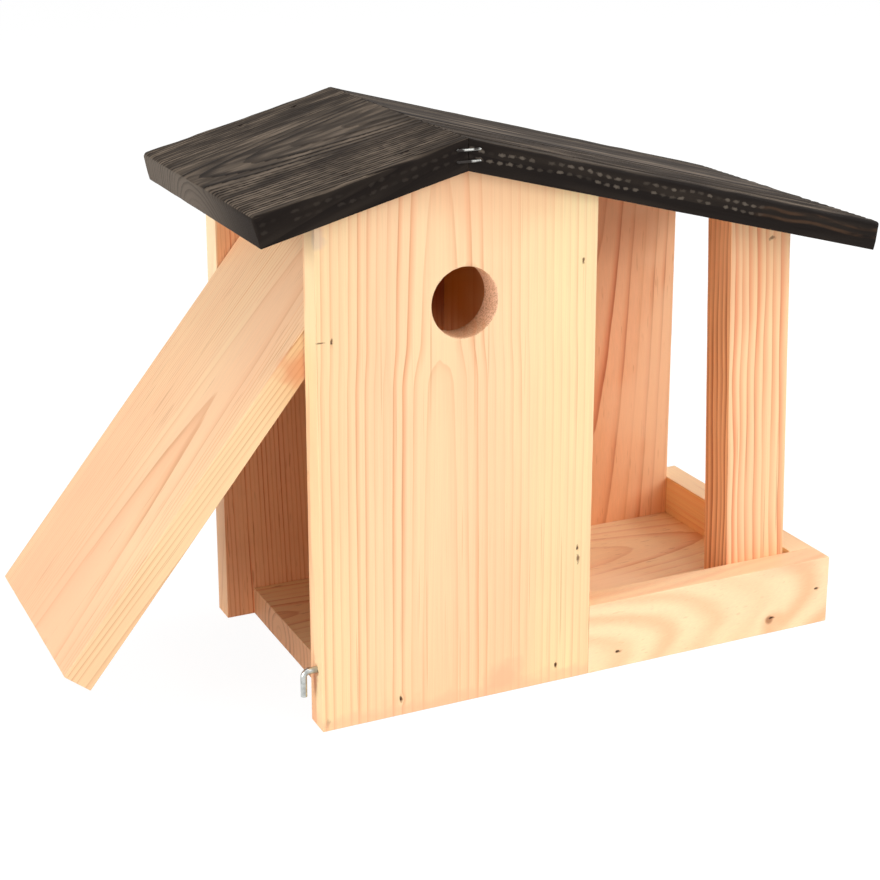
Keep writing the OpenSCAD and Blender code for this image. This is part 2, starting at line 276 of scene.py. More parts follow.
def ring_group(kind):
    """Growth rings. Late goes from 0 in early wood to 1 in late wood, and Line is a ring's thin dark edge."""
    inputs = [("Point", "Vector")] + LOG_INPUTS
    tree, g, given, out = new_group("growth_rings_" + kind[:6].lower(), kind, inputs, RING_OUTPUTS)
    point = g.turn_back(g.vector("SUBTRACT", given["Point"], given["Pith"]), given["Turn"])
    point = g.vector("MULTIPLY", point, PER_MM)
    shifted = g.vector("ADD", point, g.even(given["Seed"]))
    wander = g.vector("MULTIPLY", g.vector("MULTIPLY", shifted, WANDER_WAVES), g.even(given["Bends"]))
    wander = g.vector("SUBTRACT", g.noise(wander, detail=1.0, output=1), (0.5, 0.5, 0.5))
    reach = g.math("MULTIPLY", given["Wander"], 2.0)
    wander = g.vector("MULTIPLY", wander, g.combine(reach, reach, 0.0))
    fine = g.drawn_noise(shifted, 0.22, 0.016)
    x, y, z = g.parts(g.vector("ADD", point, wander))
    y = g.math("SUBTRACT", y, g.math("MULTIPLY", given["Bow"], g.math("MULTIPLY", z, z)))
    past_step = g.grade(g.math("SUBTRACT", z, given["Step At"]), -STEP_HALF_MM, STEP_HALF_MM)
    y = g.math("SUBTRACT", y, g.math("MULTIPLY", past_step, given["Step"]))
    radius = g.math("SQRT", g.math("ADD", g.math("MULTIPLY", x, x), g.math("MULTIPLY", y, y)))
    radius = g.math("ADD", radius, g.math("MULTIPLY", g.math("SUBTRACT", fine, 0.5), WOBBLE_MM))
    from_knot = g.math("MULTIPLY", g.vector("DISTANCE", given["Point"], given["Knot"]), 1 / MM)
    near_knot = g.grade(from_knot, 0.0, g.math("MULTIPLY", given["Knot Size"], 4.0), 1.0, 0.0)
    radius = g.math("ADD", radius, g.math("MULTIPLY", near_knot, given["Knot Size"]))
    slow_part = g.math("MAXIMUM", g.math("SUBTRACT", radius, given["Slow From"]), 0.0)
    rings = g.math("ADD", radius, g.math("MULTIPLY", given["Slowing"], slow_part))
    rings = g.math("DIVIDE", rings, given["Ring"])
    uneven = g.noise(g.combine(rings, given["Seed"], 0.0), scale=0.45, detail=1.0)
    uneven = g.math("MULTIPLY", g.math("SUBTRACT", uneven, 0.5), given["Uneven"])
    rings = g.math("ADD", g.math("ADD", rings, uneven), given["Phase"])
    part = g.math("FRACT", rings)
    end = g.grade(part, given["Fall"], 1.0, 1.0, 0.0)
    late = g.math("MULTIPLY", g.grade(part, given["Onset"], given["Fall"]), end)
    line = g.math("MULTIPLY", g.grade(part, EDGE_FROM, EDGE_FULL), end)
    chance = g.node("ShaderNodeTexWhiteNoise", noise_dimensions="2D")
    g.feed(chance.inputs["Vector"], g.combine(g.math("FLOOR", rings), given["Seed"], 0.0))
    strength = g.grade(chance.outputs["Value"], 0.0, 1.0, 0.5, 1.0)
    years = g.math("SUBTRACT", g.math("FLOOR", rings), given["Strong Year"])
    swing = g.math("COSINE", g.math("MULTIPLY", years, 2 * math.pi / YEARS_APART))
    strength = g.math("MULTIPLY", strength, g.grade(swing, -1.0, 1.0, 0.4, 1.0))
    fading = g.drawn_noise(shifted, 0.05, 0.012, detail=1.0)
    strength = g.math("MULTIPLY", strength, g.grade(fading, 0.35, 0.6, 0.6, 1.0))
    knot = g.grade(from_knot, g.math("MULTIPLY", given["Knot Size"], 0.4), given["Knot Size"], 1.0, 0.0)
    for (label, _), source in zip(RING_OUTPUTS, (late, line, strength, radius, knot, shifted)):
        g.feed(out[label], source)
    return tree


RINGS = ring_group("ShaderNodeTree")


def fibre_group():
    """Fine detail of planed wood: streaks along the fibre, small dark vessels, and slow changes of tint."""
    tree, g, given, out = new_group(
        "wood_fibre", "ShaderNodeTree", [("Log Point", "Vector")],
        [("Streak", "Float"), ("Vessel", "Float"), ("Resin", "Float"), ("Tint", "Float")])
    point = given["Log Point"]
    streak = g.drawn_noise(point, 1.6, 0.022, detail=3.0, roughness=0.65)
    dash = g.drawn_noise(point, 3.2, 0.16, detail=1.0)
    resin = g.drawn_noise(point, 0.9, 0.009, detail=1.0)
    tint = g.drawn_noise(point, 0.035, 0.007)
    g.feed(out["Streak"], streak)
    g.feed(out["Vessel"], g.grade(dash, 0.70, 0.80))
    g.feed(out["Resin"], g.grade(resin, 0.68, 0.74))
    g.feed(out["Tint"], g.grade(tint, 0.3, 0.7))
    return tree


FIBRE = fibre_group()


def end_grain_group():
    """1 where a face cuts across the fibre, and 0 on faces along it."""
    tree, g, given, out = new_group(
        "end_grain", "ShaderNodeTree", [("Normal", "Vector"), ("Turn", "Vector")], [("End", "Float")])
    across = g.parts(g.turn_back(given["Normal"], given["Turn"]))[Z]
    g.feed(out["End"], g.grade(g.math("ABSOLUTE", across), 0.55, 0.8))
    return tree


END_GRAIN = end_grain_group()


def new_material(name):
    """A material, the graph of its tree, and its shader."""
    material = bpy.data.materials.new(name)
    material.use_nodes = True
    return material, Graph(material.node_tree), material.node_tree.nodes["Principled BSDF"]


def add_bump(g, shader, height, strength, distance):
    """Fine roughness too small for the mesh."""
    bump = g.node("ShaderNodeBump")
    bump.inputs["Strength"].default_value = strength
    bump.inputs["Distance"].default_value = distance
    g.feed(bump.inputs["Height"], height)
    g.feed(shader.inputs["Normal"], bump.outputs["Normal"])


class PineLook(NamedTuple):
    """A board's colours, and how much its rings show.

    Heart wood turns to sap wood between two radii, where it has a tone for it. The faces towards one side
    may have tones of their own; on the post's left face that colour is painted shade. The rings may fade
    along x, and a rough cut is speckled with torn fibre.
    """
    heart: tuple
    sap: tuple = None
    late: tuple = srgb(246, 190, 144)
    edge: tuple = srgb(222, 152, 104)
    late_share: float = 0.6
    edge_share: float = 0.35
    heart_mm: tuple = (30.0, 62.0)
    blush: float = 0.3
    side: tuple = (-1.0, 0.0, 0.0)
    side_tone_and_shade: tuple = None
    side_share: float = 0.0
    side_late_and_shade: tuple = None
    fade_from: float = 9.0
    fade_to: float = 9.1
    faded: float = 1.0
    rough_cut: float = 0.0


BLUSH = srgb(248, 186, 146)
END_SHADE = srgb(216, 166, 122)
NAIL_BROWN = srgb(112, 76, 44)
KNOT_BROWN = srgb(150, 92, 52)
TORN_SHADE = srgb(176, 118, 82)

# How strongly the small parts of the wood show, and the torn specks in a metre of a rough cut
VESSEL_SHARE = 0.12
RESIN_SHARE = 0.4
END_SHARE = 0.55
KNOT_SHARE = 0.75
TORN_PER_M = 1500.0


class Mark(NamedTuple):
    """A stain, painted shade or painted light on a board. Stretch below 1 makes it longer along that axis."""
    place: tuple
    reach: float
    stretch: tuple = (1.0, 1.0, 1.0)
    colour: tuple = NAIL_BROWN
    share: float = 0.9


def pine(name, log, look, marks):
    """Planed pine, with marks round nails and where it is soiled, and marks of painted shade and painted light."""
    material, g, shader = new_material(name)
    coordinates = g.node("ShaderNodeTexCoord")
    point = coordinates.outputs["Object"]
    rings = g.group(RINGS, {"Point": point, **ring_values(log)})
    fibre = g.group(FIBRE, {"Log Point": rings["Log Point"]})
    normal = coordinates.outputs["Normal"]
    end = g.group(END_GRAIN, {"Normal": normal, "Turn": log.turn})["End"]
    colour = g.mix(g.grade(rings["Radius"], *look.heart_mm), look.heart, look.sap or look.heart)
    colour = g.mix(g.math("MULTIPLY", fibre["Tint"], look.blush), colour, BLUSH)
    late_tone = look.late
    # Faces towards one side take the side colours; on the post's left face these are painted shade
    if look.side_share:
        facing = g.grade(g.vector("DOT_PRODUCT", normal, look.side), 0.6, 0.9)
        colour = g.mix(g.math("MULTIPLY", facing, look.side_share), colour, look.side_tone_and_shade)
        late_tone = g.mix(facing, look.late, look.side_late_and_shade or look.late)
    fading = g.grade(g.parts(point)[X], look.fade_from, look.fade_to, 1.0, look.faded)
    strength = g.math("MULTIPLY", rings["Strength"], fading)
    late = g.math("MULTIPLY", rings["Late"], strength)
    colour = g.mix(g.math("MULTIPLY", late, look.late_share, clamp=True), colour, late_tone)
    line = g.math("MULTIPLY", rings["Line"], strength)
    colour = g.mix(g.math("MULTIPLY", line, look.edge_share), colour, look.edge)
    streak = g.grade(fibre["Streak"], 0.3, 0.7, 0.95, 1.02)
    colour = g.mix(1.0, colour, g.even(streak), blend="MULTIPLY")
    colour = g.mix(g.math("MULTIPLY", fibre["Vessel"], VESSEL_SHARE), colour, look.edge)
    colour = g.mix(g.math("MULTIPLY", fibre["Resin"], RESIN_SHARE), colour, look.edge)
    if look.rough_cut:
        torn = g.grade(g.noise(point, scale=TORN_PER_M), 0.45, 0.6, 0.0, look.rough_cut)
        colour = g.mix(torn, colour, TORN_SHADE)
    colour = g.mix(g.math("MULTIPLY", end, END_SHARE), colour, g.mix(late, END_SHADE, look.edge))
    colour = g.mix(g.math("MULTIPLY", rings["Knot"], KNOT_SHARE), colour, KNOT_BROWN)
    for mark in marks:
        away = g.vector("MULTIPLY", g.vector("SUBTRACT", point, mark.place), mark.stretch)
        ragged = g.noise(point, scale=0.9 / mark.reach)
        away = g.math("MULTIPLY", g.vector("LENGTH", away), g.grade(ragged, 0.3, 0.7, 0.7, 1.5))
        colour = g.mix(g.grade(away, mark.reach * 0.3, mark.reach, mark.share, 0.0), colour, mark.colour)
    g.feed(shader.inputs["Base Color"], colour)
    g.feed(shader.inputs["Roughness"], g.grade(fibre["Streak"], 0.2, 0.8, 0.5, 0.68))
    shader.inputs["Specular IOR Level"].default_value = 0.3
    add_bump(g, shader, g.math("ADD", fibre["Streak"], g.math("MULTIPLY", late, 0.5)), 0.25, 0.12 * MM)
    return material


# Stain of the roof, and the bare flecks along its front edge
STAIN_DARK = srgb(32, 25, 20)
STAIN_WORN = srgb(130, 115, 100)
STAIN_EDGE = srgb(22, 16, 13)
BARE_GREY = srgb(106, 96, 86)
FLECK_BROWN = srgb(78, 56, 40)

# Share of the edge's stain on the front edges, and the y from which the boards' low ends are fully worn
EDGE_STAIN_SHARE = 0.92
FULLY_WORN_Y = 20 * MM

# Length over which flecks run into streaks, and a fleck's half width and half height in its cell
FLECKS_END_MM = 14.0
FLECK_HALF = 0.3
FLECK_HALF_TALL = 0.2


class EdgeFlecks(NamedTuple):
    """Rows of flecks along a roof board's front edge, from the ridge to the streaks near its eave.

    Start is at the ridge, turn is the board's slope, and eave points out of the board's low end.
    """
    start: tuple
    turn: tuple
    eave: tuple
    pitch_mm: float = 5.0
    row_mm: float = 3.5
    first_mm: float = 2.4
    rows: float = 2.0
    streak_from_mm: float = 300.0
    share: float = 0.75


FLECK_INPUTS = [
    ("Point", "Vector"), ("Normal", "Vector"), ("Start", "Vector"), ("Turn", "Vector"), ("Pitch", "Float"),
    ("Row", "Float"), ("First", "Float"), ("Rows", "Float"), ("Streak From", "Float"),
]


def fleck_group():
    """Rows of small bare flecks along the front edge of a roof board, which run into streaks at its eave."""
    tree, g, given, out = new_group(
        "edge_flecks", "ShaderNodeTree", FLECK_INPUTS, [("Fleck", "Float"), ("Streak", "Float")])
    place = g.turn_back(g.vector("SUBTRACT", given["Point"], given["Start"]), given["Turn"])
    along, _, height = g.parts(g.vector("MULTIPLY", place, PER_MM))
    drift = g.noise(g.combine(g.math("MULTIPLY", along, 0.03), 0.0, 0.0), detail=1.0)
    depth = g.math("SUBTRACT", g.grade(drift, 0.3, 0.7, -0.8, 0.8), g.math("ADD", height, given["First"]))
    below = g.math("DIVIDE", depth, given["Row"])
    column = g.math("DIVIDE", along, given["Pitch"])
    chance = g.node("ShaderNodeTexWhiteNoise", noise_dimensions="2D")
    g.feed(chance.inputs["Vector"], g.combine(g.math("FLOOR", column), g.math("FLOOR", below), 0.0))
    wide = g.math("DIVIDE", g.math("SUBTRACT", g.math("FRACT", column), 0.5), FLECK_HALF)
    tall = g.math("DIVIDE", g.math("SUBTRACT", g.math("FRACT", below), 0.5), FLECK_HALF_TALL)
    away = g.math("ADD", g.math("MULTIPLY", wide, wide), g.math("MULTIPLY", tall, tall))
    rough = g.noise(place, scale=700.0, detail=1.0)
    away = g.math("MULTIPLY", away, g.grade(rough, 0.3, 0.7, 0.6, 1.6))
    last = g.math("ADD", given["Rows"], 0.3)
    rows = g.math("MULTIPLY", g.grade(below, -0.1, 0.1), g.grade(below, given["Rows"], last, 1.0, 0.0))
    front = g.grade(g.parts(given["Normal"])[Y], -0.9, -0.6, 1.0, 0.0)
    rows = g.math("MULTIPLY", rows, front)
    near_eave = g.grade(along, given["Streak From"], g.math("ADD", given["Streak From"], FLECKS_END_MM))
    fleck = g.math("MULTIPLY", g.grade(away, 0.0, 2.0, 1.0, 0.0), g.grade(chance.outputs["Value"], 0.0, 0.7))
    fleck = g.math("MULTIPLY", g.math("MULTIPLY", fleck, rows), g.math("SUBTRACT", 1.0, near_eave))
    line = g.grade(g.math("ABSOLUTE", tall), 0.2, 1.8, 1.0, 0.0)
    broken = g.grade(g.noise(g.combine(g.math("MULTIPLY", along, 0.07), below, 0.0)), 0.3, 0.65)
    streak = g.math("MULTIPLY", g.math("MULTIPLY", line, broken), g.math("MULTIPLY", rows, near_eave))
    g.feed(out["Fleck"], fleck)
    g.feed(out["Streak"], streak)
    return tree


FLECKS = fleck_group()


def stained(name, log, flecks):
    """Brushed pine under dark stain, which has worn lighter in soft patches and along the early wood."""
    material, g, shader = new_material(name)
    coordinates = g.node("ShaderNodeTexCoord")
    point = coordinates.outputs["Object"]
    normal = coordinates.outputs["Normal"]
    rings = g.group(RINGS, {"Point": point, **ring_values(log)})
    fibre = g.group(FIBRE, {"Log Point": rings["Log Point"]})
    end = g.grade(g.vector("DOT_PRODUCT", normal, flecks.eave), 0.55, 0.8)
    bare = g.group(FLECKS, {
        "Point": point, "Normal": normal, "Start": flecks.start, "Turn": flecks.turn,
        "Pitch": flecks.pitch_mm, "Row": flecks.row_mm, "First": flecks.first_mm, "Rows": flecks.rows,
        "Streak From": flecks.streak_from_mm})
    ring = g.math("MULTIPLY", rings["Late"], g.grade(rings["Strength"], 0.1, 0.7, 0.5, 1.0))
    early = g.math("SUBTRACT", 1.0, g.math("MULTIPLY", ring, g.grade(rings["Radius"], 28.0, 55.0, 0.6, 1.0)))
    broad = g.drawn_noise(rings["Log Point"], 0.07, 0.012)
    patch = g.drawn_noise(rings["Log Point"], 0.24, 0.03)
    wear = g.math("MULTIPLY", g.grade(early, 0.2, 1.0), g.grade(broad, 0.36, 0.64, 0.3, 1.0))
    wear = g.math("MULTIPLY", wear, g.grade(patch, 0.35, 0.65, 0.3, 1.0))
    wear = g.math("MULTIPLY", wear, g.grade(fibre["Streak"], 0.3, 0.7, 0.6, 1.0))
    colour = g.mix(wear, STAIN_DARK, STAIN_WORN)
    from_front = g.grade(g.parts(point)[Y], ROOF_FRONT_Y, FULLY_WORN_Y)
    end_wear = g.math("MULTIPLY", from_front, g.grade(early, 0.0, 1.0, 0.45, 0.9))
    colour = g.mix(end, colour, g.mix(end_wear, STAIN_DARK, BARE_GREY))
    front = g.grade(g.parts(normal)[Y], -0.85, -0.35, EDGE_STAIN_SHARE, 0.0)
    colour = g.mix(front, colour, STAIN_EDGE)
    colour = g.mix(g.math("MULTIPLY", bare["Fleck"], flecks.share), colour, BARE_GREY)
    colour = g.mix(g.math("MULTIPLY", bare["Streak"], flecks.share), colour, FLECK_BROWN)
    g.feed(shader.inputs["Base Color"], colour)
    g.feed(shader.inputs["Roughness"], g.grade(fibre["Streak"], 0.2, 0.8, 0.65, 0.85))
    shader.inputs["Specular IOR Level"].default_value = 0.1
    add_bump(g, shader, g.math("ADD", fibre["Streak"], g.math("MULTIPLY", patch, 0.5)), 0.4, 0.2 * MM)
    return material


ZINC_BRIGHT = srgb(206, 209, 206)
ZINC_DULL = srgb(168, 171, 168)
WIRE_GREY = srgb(172, 172, 168)
NAIL_GREY = srgb(120, 98, 78)
NAIL_RUST = srgb(92, 62, 40)


def zinc_plate():
    """Bright zinc plating, slightly clouded."""
    material, g, shader = new_material("zinc_plate")
    point = g.node("ShaderNodeTexCoord").outputs["Object"]
    cloud = g.noise(point, scale=450.0, detail=3.0)
    g.feed(shader.inputs["Base Color"], g.mix(g.grade(cloud, 0.3, 0.7), ZINC_BRIGHT, ZINC_DULL))
    g.feed(shader.inputs["Roughness"], g.grade(cloud, 0.3, 0.7, 0.24, 0.42))
    shader.inputs["Metallic"].default_value = 1.0
    return material


def stained_wire():
    """Wire of the staples, with the roof's stain brushed over a part of it."""
    material, g, shader = new_material("stained_wire")
    point = g.node("ShaderNodeTexCoord").outputs["Object"]
    stain = g.grade(g.noise(point, scale=170.0), 0.42, 0.55)
    g.feed(shader.inputs["Base Color"], g.mix(stain, WIRE_GREY, STAIN_DARK))
    g.feed(shader.inputs["Metallic"], g.math("SUBTRACT", 1.0, stain))
    g.feed(shader.inputs["Roughness"], g.grade(stain, 0.0, 1.0, 0.35, 0.8))
    return material


def nail_steel():
    """Dull steel of the nails' heads, brown in places."""
    material, g, shader = new_material("nail_steel")
    point = g.node("ShaderNodeTexCoord").outputs["Object"]
    rust = g.noise(point, scale=700.0)
    g.feed(shader.inputs["Base Color"], g.mix(g.grade(rust, 0.4, 0.6), NAIL_GREY, NAIL_RUST))
    g.feed(shader.inputs["Roughness"], g.grade(rust, 0.3, 0.7, 0.45, 0.7))
    shader.inputs["Metallic"].default_value = 0.4
    return material


# Boards: closed meshes on a grid, with eased edges and sunk nails


class Pit(NamedTuple):
    """A ragged dent round a sunk nail: its place in the board's frame, and the axis and side of its face."""
    place: tuple
    axis: int
    side: int
    fibre: int
    half_width: float = 0.85 * MM
    half_length: float = 1.8 * MM
    depth: float = 0.85 * MM


# Nicks in edges: their depth, and the height of the noise above which they are cut
NICK_DEPTH = 1.1 * MM
NICK_FROM = 0.45

# Waves per metre of the easing along an edge, of its nicks, and of the rims of nail pits
EASING_WAVES = 70.0
NICK_WAVES = 190.0
PIT_WAVES = 1100.0

# Length of a roof board's sharper edges at the ridge, and their share of its easing
RIDGE_ZONE = 15 * MM
SHARPER = 0.2

# How far a nail's rim may lie below its face, and how wide its head may be
RIM_DEPTH = 0.05 * MM
HEAD_SPAN = 5 * MM

# Grid lines: the least gap between them, and their places in an eased edge and across a nail's pit
LEAST_GAP = 0.02 * MM
EASING_PARTS = np.array([0.0, 0.1, 0.25, 0.45, 0.7, 1.0, 1.5])
PIT_PARTS = np.array([-1.4, -1.0, -0.75, -0.5, -0.25, 0.0, 0.25, 0.5, 0.75, 1.0, 1.4])


def grid_lines(low, high, easing, step, extra):
    """Places of a board's grid lines along one axis, close together at its ends and at extra places."""
    ends = EASING_PARTS * easing
    inner = np.linspace(low + ends[-1], high - ends[-1], max(2, round((high - low) / step)))
    lines = np.concatenate([low + ends, inner, high - ends, extra])
    lines = np.unique(np.round(lines[(lines >= low) & (lines <= high)], 6))
    keep = np.concatenate([[True], np.diff(lines) > LEAST_GAP])
    lines = lines[keep]
    lines[0], lines[-1] = low, high
    return lines


def face_quads(index, flip):
    """Quads between the points of one face, by their numbers."""
    corners = [index[:-1, :-1], index[1:, :-1], index[1:, 1:], index[:-1, 1:]]
    if flip:
        corners.reverse()
    return np.stack([corner.ravel() for corner in corners], axis=1)


def box_surface(lines):
    """Points and quads of a box ruled by grid lines."""
    shape = tuple(len(axis_lines) for axis_lines in lines)
    index = np.arange(np.prod(shape)).reshape(shape)
    quads = np.concatenate([
        face_quads(index[0], True), face_quads(index[-1], False),
        face_quads(index[:, 0], False), face_quads(index[:, -1], True),
        face_quads(index[:, :, 0], True), face_quads(index[:, :, -1], False)])
    used, quads = np.unique(quads, return_inverse=True)
    counts = np.stack(np.unravel_index(used, shape), axis=1)
    points = np.stack([lines[axis][counts[:, axis]] for axis in range(3)], axis=1)
    return points, quads.reshape(-1, 4)


def noise_at(points, scale, seed):
    """Smooth noise from about -1 to 1 at each point."""
    offset = Vector((seed, seed * 1.7, seed * 2.3))
    return np.array([noise.noise(Vector(point) * scale + offset) for point in points])


def ease_edges(points, low, high, easing, mitre, seed):
    """Rounds a box's edges by a radius that wanders along them, with a nick here and there.

    A mitred roof board stays sharper at the ridge and below.
    """
    wander = noise_at(points, EASING_WAVES, seed)
    nick = np.clip(noise_at(points, NICK_WAVES, seed + 5.0) - NICK_FROM, 0.0, 1.0)
    radius = np.clip(easing * (0.75 + 0.45 * wander), 0.35 * easing, 1.2 * easing)[:, None]
    if mitre:
        ridge_x = high[X] if mitre > 0 else low[X]
        to_ridge = np.abs(points[:, [X]] - ridge_x)
        radius = radius * np.interp(to_ridge, (0.0, RIDGE_ZONE), (SHARPER, 1.0))
        height = (points[:, [Z]] - low[Z]) / (high[Z] - low[Z])
        radius = radius * np.interp(height, (0.3, 0.8), (SHARPER, 1.0))
    radius = radius + NICK_DEPTH * nick[:, None]
    inner = np.clip(points, low + radius, high - radius)
    outward = points - inner
    length = np.linalg.norm(outward, axis=1, keepdims=True)
    return np.where(length > 0, inner + outward * radius / np.maximum(length, 1e-9), points)


def sink_pit(points, flat, pit, seed):
    """Pushes the points of one face down round a nail."""
    across = 3 - pit.axis - pit.fibre
    wide = (points[:, across] - pit.place[across]) / pit.half_width
    long = (points[:, pit.fibre] - pit.place[pit.fibre]) / pit.half_length
    away = np.hypot(wide, long)
    near = flat & (away < 1.5)
    ragged = 1.0 + 0.35 * noise_at(points[near], PIT_WAVES, seed)
    drop = pit.depth * np.clip(1.0 - (away[near] * ragged) ** 3, 0.0, 1.0)
    points[near, pit.axis] += drop if pit.side == LOW else -drop


def mesh_object(name, points, faces, materials):
    """A smooth mesh in the scene."""
    mesh = bpy.data.meshes.new(name)
    mesh.from_pydata([tuple(point) for point in points], [], [tuple(face) for face in faces])
    mesh.polygons.foreach_set("use_smooth", [True] * len(mesh.polygons))
    for material in materials:
        mesh.materials.append(material)
    made = bpy.data.objects.new(name, mesh)
    bpy.context.scene.collection.objects.link(made)
    return made


def board(name, node, material, turn=UPRIGHT, easing=0.45 * MM, steps=(3 * MM, 3 * MM, 3 * MM), sloped=False,
          mitre=0, pits=(), seed=0.0):
    """A board in place of a CAD node, with the node's own size, ruled by steps along its three axes.

    Sloped boards end under the roof. Mitre is 1 or -1 for a roof board cut at its right or left end.
    """
    low, high = turned_box(node, turn)
    extra = [[], [], []]
    if sloped and low[X] < RIDGE[X] < high[X]:
        extra[X].append(RIDGE[X])
    for pit in pits:
        across = 3 - pit.axis - pit.fibre
        extra[across].extend(pit.place[across] + PIT_PARTS * pit.half_width)
        extra[pit.fibre].extend(pit.place[pit.fibre] + PIT_PARTS * pit.half_length)
    lines = [grid_lines(low[axis], high[axis], easing, steps[axis], extra[axis]) for axis in range(3)]
    points, faces = box_surface(lines)
    flats = [points[:, pit.axis] == (low, high)[pit.side][pit.axis] for pit in pits]
    points = ease_edges(points, low, high, easing, mitre, seed)
    if sloped:
        share = (points[:, Z] - low[Z]) / (high[Z] - low[Z])
        top = roof_height(points[:, X])
        # A lean moves a point sideways as it rises, so a few rounds find where it meets the roof
        for _ in range(4):
            top = roof_height(points[:, X] + turn[X][Z] * top)
        points[:, Z] = low[Z] + share * (top - low[Z])
    if mitre:
        fixed = low[X] if mitre > 0 else high[X]
        short = (high[Z] - points[:, Z]) * math.tan(ROOF_PITCH) / (high[X] - low[X])
        points[:, X] = fixed + (points[:, X] - fixed) * (1 - short)
    for number, (pit, flat) in enumerate(zip(pits, flats)):
        sink_pit(points, flat, pit, seed + number)
    points = points @ np.array(turn).T
    return mesh_object(name, points, faces, [material])


def nail_heads(node, axis, side, turn=UPRIGHT):
    """Centres of the nail heads of a CAD node, in the board's frame."""
    points = in_frame(cad_points(node), turn)
    outer = points[:, axis].min() if side == LOW else points[:, axis].max()
    rim = points[np.abs(points[:, axis] - outer) < RIM_DEPTH]
    centres = []
    while len(rim):
        near = np.linalg.norm(rim - rim[0], axis=1) < HEAD_SPAN
        cluster = rim[near]
        centres.append((cluster.min(axis=0) + cluster.max(axis=0)) / 2)
        rim = rim[~near]
    return centres


def pits_of(nodes, axis, side, fibre, turn=UPRIGHT):
    """Pits round the nails of CAD nodes."""
    places = [place for node in nodes for place in nail_heads(node, axis, side, turn)]
    return [Pit(tuple(place), axis, side, fibre) for place in places]


def nail_marks(pits, reach=1.0 * MM):
    """Brown slits along the fibre round sunk nails, for boards that stand along the axes."""
    marks = []
    for pit in pits:
        stretch = [1.0, 1.0, 1.0]
        stretch[pit.fibre] = 0.5
        marks.append(Mark(tuple(pit.place), reach, tuple(stretch)))
    return marks


# Fibre along y and along the right slope
ALONG_Y = (math.radians(-90), 0.0, 0.0)
ALONG_RIGHT = (0.0, math.radians(90) + ROOF_PITCH, 0.0)

FRONT_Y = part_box("front_panel")[LOW].y
BACK_INSIDE_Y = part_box("back_panel")[LOW].y


def on_door(depth, y, down):
    """A place on the open door: depth below its outer face, and way down from its pivot."""
    face = turned_box("side_door", DOOR_TURN)[LOW][X]
    return tuple(DOOR_TURN @ Vector((face + depth, y, (DOOR_TURN.inverted() @ DOOR_PIVOT).z - down)))


LOGS = {
    "front": Log(
        pith=(-0.0793, FRONT_Y + 0.012, 0.0), ring_mm=3.95, phase=0.18, onset=0.4, strong_year=5.5,
        uneven=0.15, bow=0.74e-4, step_at_mm=166.0, step_mm=2.0, wander_mm=0.7,
        knot=(-0.0990, FRONT_Y, 0.0078), knot_size_mm=1.1, seed=3.0),
    "back": Log(
        pith=(0.067, BACK_INSIDE_Y + 0.036, 0.10), turn=(math.radians(4.0), math.radians(-1.0), 0.0),
        ring_mm=5.6, onset=0.5, slow_from_mm=70.0, slowing=1.4, uneven=0.5, wander_mm=1.0, seed=11.0),
    "floor": Log(
        pith=(0.1, 0.022, -0.018), turn=(0.0, math.radians(95.7), 0.0), ring_mm=5.0, onset=0.5, seed=17.0),
    "partition": Log(pith=(0.03, 0.01, 0.0), onset=0.5, seed=23.0),
    "rail": Log(
        pith=(0.0788, FRONT_Y + 0.044, 0.0163), turn=(0.0, math.radians(81.6), math.radians(12.5)),
        ring_mm=6.0, phase=0.76, onset=0.1, fall=0.6, uneven=0.15, wander_mm=2.0, bends=3.0,
        knot=(0.1024, FRONT_Y, 0.0073), knot_size_mm=3.0, seed=29.0),
    "end_rail": Log(pith=(0.128, 0.0, 0.006), turn=ALONG_Y, seed=31.0),
    "post": Log(
        pith=(0.194, 0.061, 0.0), turn=(0.0, math.radians(-2.0), 0.0), ring_mm=2.75, onset=0.15, uneven=0.6,
        bends=3.0, seed=37.0),
    "door": Log(
        pith=on_door(0.040, -0.0217, 0.052), turn=(0.0, DOOR_ANGLE + math.radians(2.0), 0.0), ring_mm=4.3,
        phase=0.7, onset=0.45, strong_year=8.0, slow_from_mm=46.0, slowing=1.7, uneven=0.12, wander_mm=0.8,
        seed=41.0),
    "roof_left": Log(
        pith=(-0.115, 0.002, 0.218), turn=(0.0, math.radians(81.5) - ROOF_PITCH, 0.0), ring_mm=3.6,
        slow_from_mm=46.0, slowing=0.45, uneven=0.5, wander_mm=2.5, bends=2.0, seed=43.0),
    "roof_right": Log(pith=(0.0, 0.0, 0.20), turn=ALONG_RIGHT, wander_mm=4.0, seed=47.0),
}

